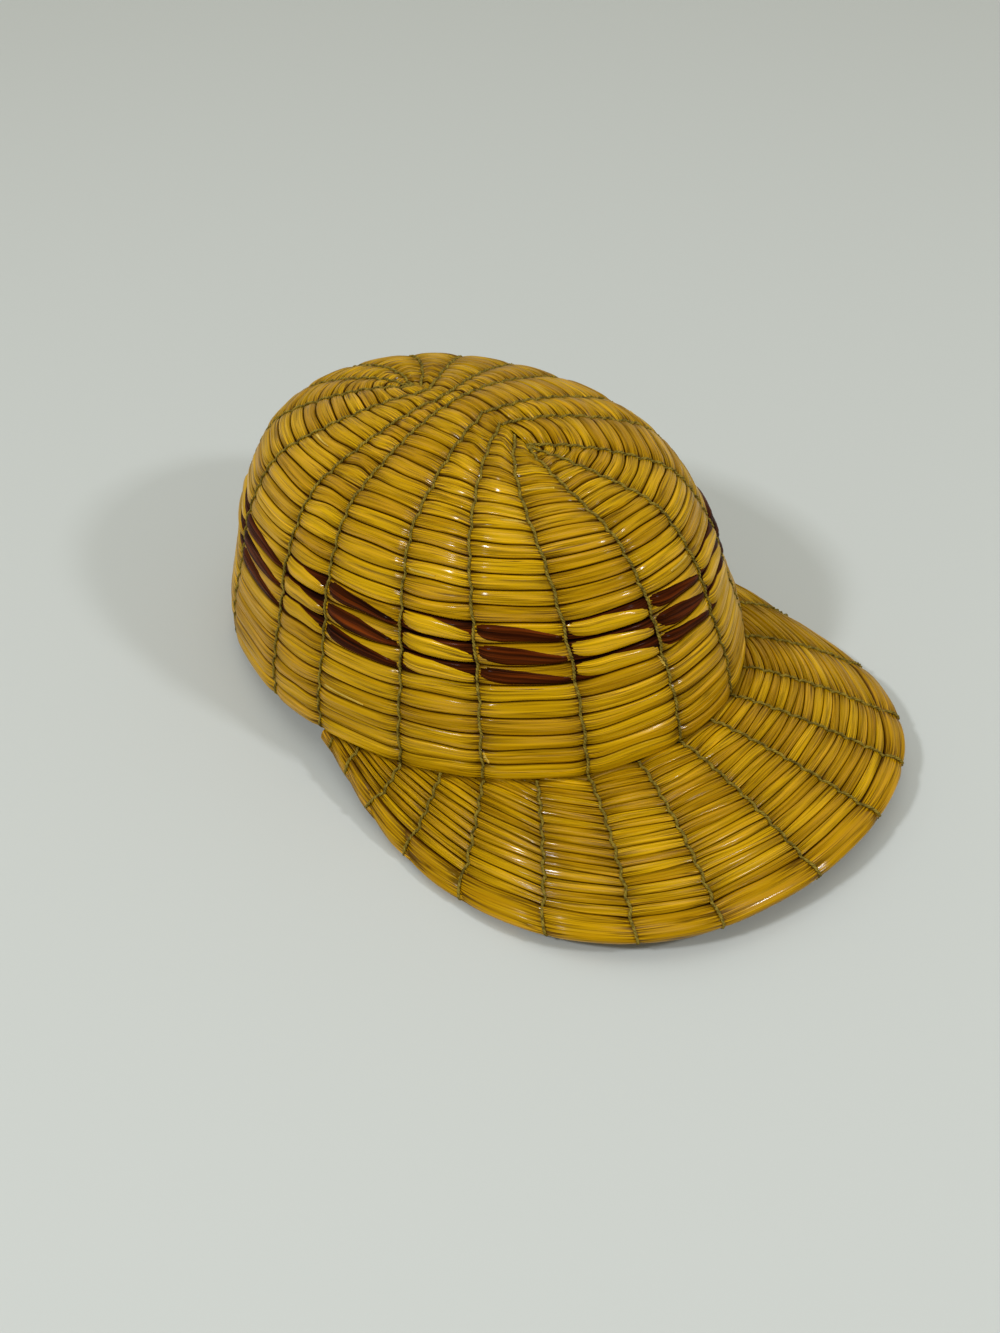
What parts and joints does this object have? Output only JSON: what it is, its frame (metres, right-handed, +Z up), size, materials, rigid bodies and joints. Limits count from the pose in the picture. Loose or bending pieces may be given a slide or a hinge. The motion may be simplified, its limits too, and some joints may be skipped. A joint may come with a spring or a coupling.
{
  "type": "sun cap",
  "caption": "Sun cap of thick coiled straw: a hollow oval crown wound in stitched rows, a drooping crescent peak and brown dyed strips round the band.",
  "frame": {"origin": "centre of the bounding box in X and Y, on the surface that the cap lies on", "axes": "+Z up, the peak points to -Y, +X is the wearer's left side"},
  "size_m": [0.1886, 0.267, 0.1034],
  "materials": {
    "straw": "satin golden straw, sewn rows",
    "dyed_straw": "satin brown dyed straw"
  },
  "bodies": {
    "root": {"crown": "straw", "dyed_strip_16_1": "dyed_straw", "dyed_strip_16_11": "dyed_straw", "dyed_strip_16_13": "dyed_straw", "dyed_strip_16_15": "dyed_straw", "dyed_strip_16_17": "dyed_straw", "dyed_strip_16_3": "dyed_straw", "dyed_strip_16_5": "dyed_straw", "dyed_strip_16_7": "dyed_straw", "dyed_strip_16_9": "dyed_straw", "dyed_strip_17_1": "dyed_straw", "dyed_strip_17_11": "dyed_straw", "dyed_strip_17_13": "dyed_straw", "dyed_strip_17_15": "dyed_straw", "dyed_strip_17_17": "dyed_straw", "dyed_strip_17_3": "dyed_straw", "dyed_strip_17_5": "dyed_straw", "dyed_strip_17_7": "dyed_straw", "dyed_strip_17_9": "dyed_straw", "dyed_strip_18_1": "dyed_straw", "dyed_strip_18_11": "dyed_straw", "dyed_strip_18_13": "dyed_straw", "dyed_strip_18_15": "dyed_straw", "dyed_strip_18_17": "dyed_straw", "dyed_strip_18_3": "dyed_straw", "dyed_strip_18_5": "dyed_straw", "dyed_strip_18_7": "dyed_straw", "dyed_strip_18_9": "dyed_straw", "peak": "straw"}
  },
  "joints": []
}
